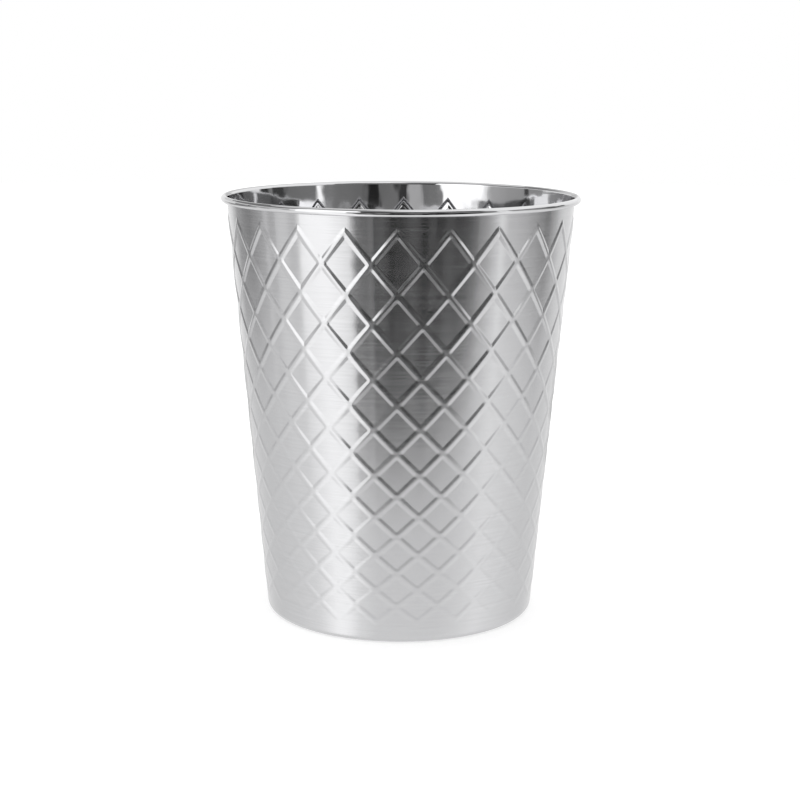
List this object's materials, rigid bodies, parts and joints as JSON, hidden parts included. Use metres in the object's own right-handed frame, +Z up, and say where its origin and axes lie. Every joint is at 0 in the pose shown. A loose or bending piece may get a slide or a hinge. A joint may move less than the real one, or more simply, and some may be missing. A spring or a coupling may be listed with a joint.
{
  "type": "wastebasket",
  "caption": "Open-topped tapered wastebasket of embossed stainless sheet with a raised diamond lattice, a curled wired rim and a pressed base.",
  "frame": {"origin": "on the floor at the centre of the base", "axes": "+Z up along the basket's axis; -Y is the side that faces the camera, on a peak of the lattice"},
  "size_m": [0.241, 0.241, 0.285],
  "materials": {
    "body_steel": "brushed round the basket outside, bright inside and on the rim",
    "wire_steel": "drawn wire, dull",
    "base_steel": "bright mill finish"
  },
  "bodies": {
    "root": {"body_shell": "body_steel", "rim_wire": "wire_steel", "base_pan": "base_steel"}
  },
  "joints": []
}
